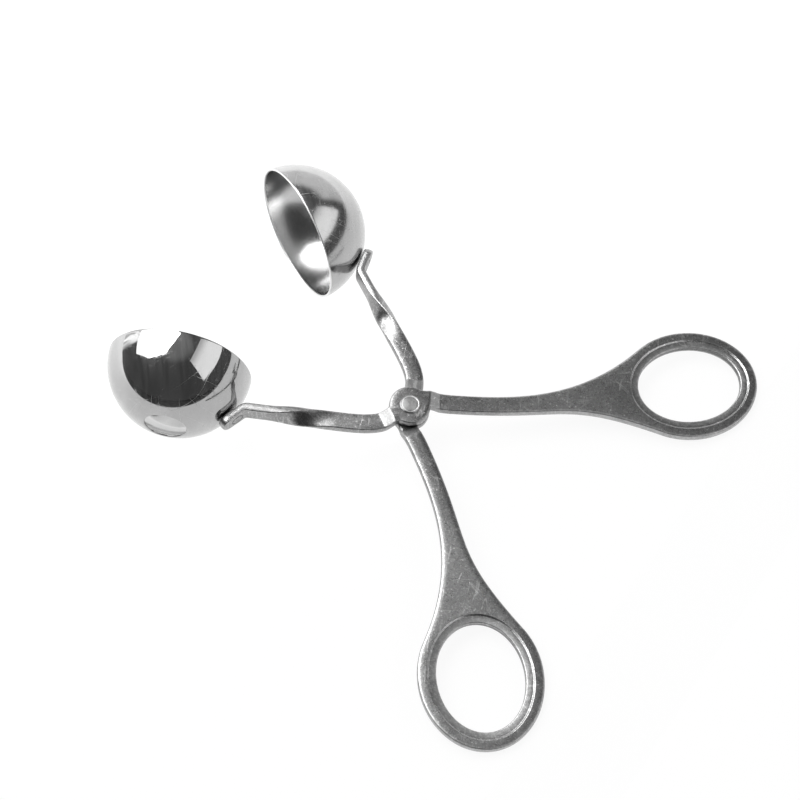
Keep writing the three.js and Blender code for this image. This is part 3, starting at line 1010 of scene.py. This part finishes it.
class Link:
    """Output of a shader node; arithmetic with it adds Math nodes to its tree"""

    def __init__(self, graph, socket):
        self.graph = graph
        self.socket = socket

    def math(self, operation, first, second=0.0):
        """Output of a Math node in the same tree"""
        return self.graph.node("ShaderNodeMath", {"operation": operation}, {0: first, 1: second})["Value"]

    def __add__(self, other):
        return self.math("ADD", self, other)

    def __sub__(self, other):
        return self.math("SUBTRACT", self, other)

    def __rsub__(self, other):
        return self.math("SUBTRACT", other, self)

    def __mul__(self, other):
        return self.math("MULTIPLY", self, other)

    __radd__ = __add__
    __rmul__ = __mul__

    def rise(self, low, high):
        """Smooth way from 0 at low to 1 at high"""
        settings = {"interpolation_type": "SMOOTHSTEP"}
        sockets = {"Value": self, "From Min": low, "From Max": high}
        return self.graph.node("ShaderNodeMapRange", settings, sockets)["Result"]

    def near(self, value, width):
        """1 where this is close to a value, falling to 0 at the given width from it"""
        apart = self.math("ABSOLUTE", self - value)
        return 1 - apart.rise(0, width)


class Graph:
    """Node tree of a material or of the world"""

    def __init__(self, owner):
        owner.use_nodes = True
        self.tree = owner.node_tree
        self.tree.nodes.clear()

    def node(self, kind, settings=None, sockets=None):
        """New node: its settings are set first, then the values or links of its sockets; gives its outputs"""
        node = self.tree.nodes.new(kind)
        for name, value in (settings or {}).items():
            setattr(node, name, value)
        for name, value in (sockets or {}).items():
            if isinstance(name, int):
                socket = node.inputs[name]
            else:
                socket = next(found for found in node.inputs if found.name == name and found.enabled)
            if isinstance(value, Link):
                self.tree.links.new(value.socket, socket)
            else:
                socket.default_value = value
        return {socket.name: Link(self, socket) for socket in node.outputs if socket.enabled}

    def noise(self, vector, size, detail=2.0, roughness=0.5):
        """Cloudy pattern with features of about the given size"""
        sockets = {"Vector": vector, "Scale": 1 / size, "Detail": detail, "Roughness": roughness}
        return self.node("ShaderNodeTexNoise", None, sockets)["Fac"]

    def stretched(self, vector, turn, stretch):
        """Coordinates turned and drawn out, so that a pattern on them runs in one direction"""
        sockets = {"Vector": vector, "Rotation": turn, "Scale": stretch}
        return self.node("ShaderNodeMapping", {"vector_type": "TEXTURE"}, sockets)["Vector"]

    def mix_colour(self, factor, first, second):
        """Colour between two others"""
        settings = {"data_type": "RGBA"}
        return self.node("ShaderNodeMix", settings, {"Factor": factor, "A": first, "B": second})["Result"]

    def tones(self, pattern, colour, shades):
        """Colour that a pattern takes from its dark shade to its light one"""
        dark, light = shades
        return self.mix_colour(pattern, shade(colour, dark), shade(colour, light))

    def vector(self, operation, *vectors):
        """Outputs of a Vector Math node"""
        return self.node("ShaderNodeVectorMath", {"operation": operation}, dict(enumerate(vectors)))

    def along(self, vector, direction):
        """Distance along a direction"""
        return self.vector("DOT_PRODUCT", vector, direction)["Value"]

    def layer(self, name):
        """Values of a mesh's own layer"""
        return self.node("ShaderNodeAttribute", {"attribute_name": name})["Fac"]

    def bump(self, height, distance):
        """Normal of a surface with a relief"""
        sockets = {"Height": height, "Distance": distance, "Strength": 1.0}
        return self.node("ShaderNodeBump", None, sockets)["Normal"]

    def finish(self, sockets):
        """Surface of the material, from its shader's sockets"""
        surface = self.node("ShaderNodeBsdfPrincipled", None, sockets)["BSDF"]
        self.node("ShaderNodeOutputMaterial", None, {"Surface": surface})

    def finish_light(self, glow, radiance):
        """Surface that gives off light"""
        light = self.node("ShaderNodeEmission", None, {"Color": glow, "Strength": radiance})["Emission"]
        self.node("ShaderNodeOutputMaterial", None, {"Surface": light})


def new_material(name):
    """New material, its node tree and the place on the surface"""
    material = bpy.data.materials.new(name)
    graph = Graph(material)
    return material, graph, graph.node("ShaderNodeTexCoord")["Object"]


def shade(colour, factor):
    """Colour made lighter or darker"""
    return (*[clamp(channel * factor, 0, 1) for channel in colour], 1)


def grey(level):
    """Opaque grey"""
    return level, level, level, 1


def finish_metal(graph, colour, roughness, normal, film=0.0, film_roughness=0.0):
    """Metal surface with the given patterns, under a film that scatters a little light"""
    graph.finish({
        "Base Color": colour,
        "Metallic": 1.0,
        "Roughness": roughness,
        "Normal": normal,
        "Coat Weight": film,
        "Coat Roughness": film_roughness,
    })


def hairlines(graph, place, size, width, turns):
    """Fine curved scratches: thin level lines of drawn-out clouds, broken into short stretches"""
    lines = 0
    for i, turn in enumerate(turns):
        drawn = graph.stretched(place, turn, HAIR_STRETCH)
        clouds = graph.noise(drawn, size, detail=1.0)
        gaps = graph.noise(place, size * (HAIR_GAP + i)).rise(*HAIR_LEVELS)
        lines = clouds.near(MIDDLE, width) * gaps + lines
    return lines


def axis_distance(graph, place):
    """Distance from the hinge's axis"""
    offset = graph.vector("SUBTRACT", place, PIVOT)["Vector"]
    across = graph.vector("CROSS_PRODUCT", offset, HINGE_AXIS)["Vector"]
    return graph.vector("LENGTH", across)["Value"]


def satin_steel(finish):
    """Tumbled steel of the arms: fine grain, patches of specks and scratches that carry painted glints, edges
    worn bright, weld scorch, painted shade on the finger hole's wall, painted light on the joggles' slopes
    """
    material, graph, place = new_material("satin_steel")
    wear, scorch_and_shade, slope_dull_and_lit = graph.layer("wear"), graph.layer("scorch_and_shade"), graph.layer("slope_dull_and_lit")
    grain = graph.noise(place, GRAIN, detail=3.0, roughness=0.65)
    mottle = graph.noise(place, MOTTLE, detail=3.0, roughness=0.6)
    clouds = graph.noise(place, CLOUDS)
    scratches = hairlines(graph, place, *ARM_SCRATCHES)
    unworn = 1 - WORN_SMOOTH * wear
    sockets = {"Vector": place, "Scale": 1 / SPECKS, "Randomness": 1.0}
    cells = graph.node("ShaderNodeTexVoronoi", None, sockets)
    dots = 1 - cells["Distance"].rise(*SPECK_EDGE)
    patches = SPECK_LEAST + (1 - SPECK_LEAST) * clouds.rise(*SPECK_CLOUDS)
    specks = dots * mottle.rise(*SPECK_MOTTLE) * patches * unworn
    rubbed = wear * (RUBBED_LEAST + (1 - RUBBED_LEAST) * mottle.rise(*RUBBED_LEVELS))
    patina = 1 - axis_distance(graph, place).rise(*PATINA)
    tone = PLAIN_TONE + GRAIN_TONE * grain.rise(*GRAIN_LEVELS)
    tone = tone + MOTTLE_TONE * mottle.rise(*MOTTLE_LEVELS) + CLOUD_TONE * clouds.rise(*CLOUD_LEVELS)
    # The slopes of the joggles are lightened with painted light where the boss shades them
    tone = tone + RUBBED_TONE * rubbed - PATINA_TONE * patina + SLOPE_PAINTED_LIGHT * slope_dull_and_lit
    colour = graph.tones(tone, finish.satin, SATIN_SHADES)
    # Painted glints on the specks and scratches
    painted_glints = SPECK_GLINT * specks + SCRATCH_GLINT * scratches
    colour = graph.mix_colour(painted_glints, colour, shade(finish.satin, GLINT_SHADE))
    # Darker where the weld scorched its rim, and painted shade on the finger hole's wall
    colour = graph.mix_colour(scorch_and_shade, colour, shade(finish.satin, SCORCH_AND_SHADE_TINT))
    roughness = finish.satin_roughness + MOTTLE_ROUGH * (mottle - MIDDLE)
    roughness = roughness + WEAR_ROUGH * wear + SLOPE_ROUGH * slope_dull_and_lit
    relief = (GRAIN_HEIGHT * grain + MOTTLE_HEIGHT * mottle + SCRATCH_HEIGHT * scratches) * unworn
    finish_metal(graph, colour, roughness, graph.bump(relief, SATIN_RELIEF))
    return material


def polished_steel(finish, name, outside, within):
    """Mirror steel of a bowl, hazier inside, with a painted highlight on its rim: faint smears and scratches
    """
    material, graph, place = new_material(name)
    inside, highlit_rim = graph.layer("inside"), graph.layer("highlit_rim")
    smears = graph.noise(graph.stretched(place, SMEAR_TURN, SMEAR_STRETCH), SMEARS, detail=3.0)
    haze = graph.noise(place, HAZE, detail=4.0, roughness=0.6)
    nicks = hairlines(graph, place, *BOWL_NICKS) * haze.rise(*NICK_LEVELS)
    marks = (hairlines(graph, place, *BOWL_SCRATCHES) + nicks) * (1 - INSIDE_CLEAN * inside)
    buffing = hairlines(graph, place, *BOWL_BUFFING) * (1 - inside)
    tone = SMEAR_TONE * smears.rise(*SMEAR_LEVELS) + HAZE_TONE * haze + MARK_TONE * marks
    outer = graph.tones(tone, finish.polished, OUTSIDE_SHADES)
    inner = graph.tones(tone, finish.polished, INSIDE_SHADES)
    colour = graph.mix_colour(inside, outer, inner)
    # Painted highlight on the rim
    colour = graph.mix_colour(highlit_rim, colour, shade(finish.polished, RIM_HIGHLIGHT_SHADE))
    roughness = outside + (within - outside) * inside + BRIM_ROUGH * highlit_rim
    roughness = roughness + SMEAR_ROUGH * smears.rise(*DULL_LEVELS) + HAZE_ROUGH * haze
    roughness = roughness + MARK_ROUGH * marks + BUFFING_ROUGH * buffing
    relief = HAZE_HEIGHT * haze - marks + BUFFING_HEIGHT * buffing
    drawn = graph.stretched(place, STROKE_TURN, STROKE_STRETCH)
    strokes = graph.noise(drawn, STROKES).rise(*STROKE_LEVELS)
    film = (FILM_LEAST + (1 - FILM_LEAST) * strokes) * (1 - inside)
    finish_metal(graph, colour, roughness, graph.bump(relief, POLISH_RELIEF), film, finish.film_roughness)
    return material


def rivet_steel(finish, pivot):
    """Turned steel of the rivet: rings from the lathe under a light wear, with a painted highlight round its
    flat
    """
    material, graph, place = new_material("rivet_steel")
    radius = axis_distance(graph, place)
    wander = graph.noise(place, WANDER, detail=3.0, roughness=0.6)
    specks = graph.noise(place, RIVET_SPECKS, detail=3.0, roughness=0.6)
    rings = radius.math("SINE", radius * (2 * math.pi / LATHE_PITCH) + RING_WANDER * wander)
    tone = WANDER_TONE * wander.rise(*WANDER_LEVELS) + RIVET_SPECK_TONE * specks + RING_TONE * rings
    edge = radius.near((pivot.head_face + pivot.groove_width) / 2, pivot.groove_width / 2)
    colour = graph.tones(tone, finish.rivet, RIVET_SHADES)
    # Painted highlight round the rivet's flat
    colour = graph.mix_colour(edge, colour, shade(finish.rivet, RIVET_HIGHLIGHT_SHADE))
    roughness = finish.rivet_roughness + WANDER_ROUGH * wander + EDGE_ROUGH * edge
    relief = RING_HEIGHT * rings + RIVET_SPECK_HEIGHT * specks
    finish_metal(graph, colour, roughness, graph.bump(relief, TURNED_RELIEF))
    return material


class TONGS_OT_arms(bpy.types.Operator):
    """Makes the two stamped arms"""

    bl_idname = "tongs.arms"
    bl_label = "Arms"

    def execute(self, context):
        tool = context.scene.tongs
        steel = satin_steel(tool.finish)
        arm = Blank(tool).mesh()
        add_piece("front_arm_stamping", arm, placed(tool), steel, "front_arm", FRONT)
        add_piece("rear_arm_stamping", arm, placed(tool, rear=True), steel, "rear_arm", REAR)
        arm.free()
        return {"FINISHED"}


class TONGS_OT_bowls(bpy.types.Operator):
    """Makes the two vented bowls"""

    bl_idname = "tongs.bowls"
    bl_label = "Bowls"

    def execute(self, context):
        tool = context.scene.tongs
        finish = tool.finish
        front = polished_steel(finish, "front_polish", finish.front_roughness, finish.front_inside)
        rear = polished_steel(finish, "rear_polish", finish.rear_roughness, finish.rear_inside)
        bowl = bowl_mesh(tool.bowl)
        add_piece("front_bowl_shell", bowl, placed(tool), front, "front_bowl", FRONT)
        add_piece("rear_bowl_shell", bowl, placed(tool, rear=True), rear, "rear_bowl", REAR)
        bowl.free()
        return {"FINISHED"}


class TONGS_OT_rivet(bpy.types.Operator):
    """Makes the pivot's rivet"""

    bl_idname = "tongs.rivet"
    bl_label = "Rivet"

    def execute(self, context):
        tool = context.scene.tongs
        rivet = rivet_mesh(tool.pivot, tool.strip)
        steel = rivet_steel(tool.finish, tool.pivot)
        add_piece("rivet_turned", rivet, placed(tool), steel, "pivot_rivet", REAR)
        rivet.free()
        return {"FINISHED"}


def on_ground(bearing):
    """Level unit vector along a bearing, from +Y towards +X"""
    return Vector((math.sin(bearing), math.cos(bearing), 0))


def add_sheet(name, parts, material):
    """Sheet of the stage from the corners of its flat parts"""
    sheet = bmesh.new()
    for corners in parts:
        sheet.faces.new(hoop(sheet, corners))
    piece = add_object(name, sheet, material)
    sheet.free()
    return piece


def make_floor(stage):
    """Pale sheet that the tool lies on, glowing with painted light that washes out the tool's shadows and is
    brighter towards the softbox's side
    """
    material, graph, place = new_material("floor_sheet")
    fibres = graph.noise(place, FIBRES, detail=4.0)
    fallen = graph.along(place, on_ground(stage.fall_bearing)).rise(*FALL_REACH)
    graph.finish({
        "Base Color": graph.tones(fibres, stage.floor, FIBRE_SHADES),
        **MATTE,
        # Painted light: a glow that washes out the tool's shadows, brighter towards the softbox's side
        "Emission Color": graph.mix_colour(1 - FALL_SHARE * fallen, grey(0), grey(1)),
        "Emission Strength": stage.floor_painted_light,
    })
    half = stage.floor_size / 2
    low = -FLOOR_DROP - stage.floor_fall
    brink = CAD_BOX[1][0]
    foot = brink + stage.floor_fall / math.tan(LEAN)
    profile = [(-half, -FLOOR_DROP), (brink, -FLOOR_DROP), (foot, low), (half, low)]
    rows = [[Vector((x, y, z)) for y in (-half, half)] for x, z in profile]
    parts = [(*row, *reversed(following)) for row, following in zip(rows, rows[1:])]
    add_sheet("floor", parts, material)


def add_softbox(stage):
    """Overhead softbox with cut corners, dimmer at its far end"""
    material, graph, place = new_material("softbox")
    near = graph.along(place, Vector((1, 0, 0))).rise(*SOFTBOX_FADE)
    graph.finish_light(graph.mix_colour(near, grey(stage.key_far), grey(1)), stage.key_radiance)
    corners = [Vector((x, y, stage.key_height)) for x, y in SOFTBOX]
    softbox = add_sheet("softbox", [corners], material)
    softbox.visible_camera = False


def add_flag(stage):
    """Black card in front of the tool, outside the picture and seen only in reflections: a painted dark
    reflection that keeps the near side of the reflections dark
    """
    material, graph, place = new_material("dark_reflection_card")
    nap = graph.noise(place, NAP, detail=3.0)
    ahead = on_ground(stage.flag_bearing)
    graph.finish({
        "Base Color": graph.tones(nap, stage.flag, NAP_SHADES),
        **MATTE,
        "Alpha": graph.along(place, ahead).rise(stage.flag_start, stage.flag_end),
    })
    side = on_ground(stage.flag_bearing + math.pi / 2) * (stage.flag_size / 2)
    near, far = ahead * stage.flag_start, ahead * stage.flag_size
    flag = add_sheet("flag", [(near - side, far - side, far + side, near + side)], material)
    flag.visible_camera = False
    flag.visible_diffuse = False
    flag.visible_shadow = False


def add_window(stage):
    """Upright panel on the right, dimmer towards its top"""
    material, graph, place = new_material("window")
    dimmed = graph.along(place, Vector((0, 0, 1))).rise(*WINDOW_FADE)
    graph.finish_light(graph.mix_colour(dimmed, grey(1), grey(WINDOW_TOP)), stage.window_radiance)
    centre = Vector(stage.window_place)
    side = on_ground(stage.window_bearing + math.pi / 2) * (stage.window_width / 2)
    up = Vector((0, 0, stage.window_height / 2))
    corners = [centre - side - up, centre + side - up, centre + side + up, centre - side + up]
    window = add_sheet("window", [corners], material)
    window.visible_camera = False


def light_room(stage):
    """Softbox overhead on the left, black card in front seen only in reflections, dim panel on the right,
    dark room, pale backdrop
    """
    add_softbox(stage)
    add_flag(stage)
    add_window(stage)
    world = bpy.data.worlds.new("room")
    bpy.context.scene.world = world
    graph = Graph(world)
    sight = graph.node("ShaderNodeTexCoord")["Generated"]
    part = graph.node("ShaderNodeSeparateXYZ", None, {"Vector": sight})
    bearing = part["X"].math("ARCTAN2", part["X"], part["Y"])
    folds = graph.noise(graph.stretched(sight, (0, 0, 0), FOLD_STRETCH), FOLDS)
    streaks = graph.noise(graph.stretched(sight, (0, 0, 0), STREAK_STRETCH), STREAKS, detail=1.0)
    streaks = streaks.rise(*STREAK_LEVELS) * bearing.near(STREAK_BEARING, STREAK_BREADTH)
    sides = bearing.rise(*BACKDROP_LEFT) * (1 - bearing.rise(*BACKDROP_RIGHT))
    backdrop = sides * (1 - part["Z"].rise(*BACKDROP_TOP)) * (1 + STREAK_GAIN * streaks)
    ceiling = part["Z"].rise(*CEILING_EDGE)
    level = stage.room_dark + stage.room_ceiling * ceiling
    level = level + stage.backdrop * backdrop * (FOLD_LEAST + FOLD_GAIN * folds)
    sockets = {"Color": grey(1), "Strength": level}
    background = graph.node("ShaderNodeBackground", None, sockets)["Background"]
    graph.node("ShaderNodeOutputWorld", None, {"Surface": background})


def add_camera(stage):
    """Camera where the photograph was taken from"""
    data = bpy.data.cameras.new("camera")
    data.lens = stage.lens
    camera = bpy.data.objects.new("camera", data)
    level = math.cos(stage.elevation)
    back = Vector((
        math.sin(stage.azimuth) * level,
        -math.cos(stage.azimuth) * level,
        math.sin(stage.elevation),
    ))
    aim = Vector((stage.aim_x, stage.aim_y, PIVOT.z))
    camera.location = aim + back * stage.distance
    camera.rotation_mode = "QUATERNION"
    upright = back.to_track_quat("Z", "Y")
    camera.rotation_quaternion = upright @ Matrix.Rotation(-stage.roll, 3, "Z").to_quaternion()
    data.clip_start = stage.distance * CLIP_SHARE
    bpy.context.scene.collection.objects.link(camera)
    bpy.context.scene.camera = camera


class TONGS_OT_stage(bpy.types.Operator):
    """Makes the floor, the light and the camera"""

    bl_idname = "tongs.stage"
    bl_label = "Stage"

    def execute(self, context):
        stage = context.scene.tongs.stage
        make_floor(stage)
        light_room(stage)
        add_camera(stage)
        context.scene.view_settings.view_transform = "Standard"
        return {"FINISHED"}


class TONGS_PT_panel(bpy.types.Panel):
    """Steps that make the tool, in order"""

    bl_idname = "TONGS_PT_panel"
    bl_label = "Meatball Maker"
    bl_space_type = "VIEW_3D"
    bl_region_type = "UI"
    bl_category = "Meatball Maker"

    def draw(self, context):
        for operator in OPERATORS:
            self.layout.operator(operator.bl_idname)


SETTINGS = (
    BowlSizes, StripSizes, PivotSizes, RingSizes, HandleSizes, ForearmSizes, SteelFinish, StageSizes,
    TongsSettings,
)
OPERATORS = TONGS_OT_stage, TONGS_OT_arms, TONGS_OT_bowls, TONGS_OT_rivet
CLASSES = (*SETTINGS, *OPERATORS, TONGS_PT_panel)


def register():
    """Makes the settings, steps and panel known to Blender"""
    for cls in CLASSES:
        bpy.utils.register_class(cls)
    bpy.types.Scene.tongs = PointerProperty(type=TongsSettings)


def unregister():
    """Takes them away again"""
    del bpy.types.Scene.tongs
    for cls in reversed(CLASSES):
        bpy.utils.unregister_class(cls)


def main():
    """Makes the tool step by step"""
    register()
    bpy.ops.tongs.stage()
    bpy.ops.tongs.arms()
    bpy.ops.tongs.bowls()
    bpy.ops.tongs.rivet()


if __name__ == "__main__":
    main()
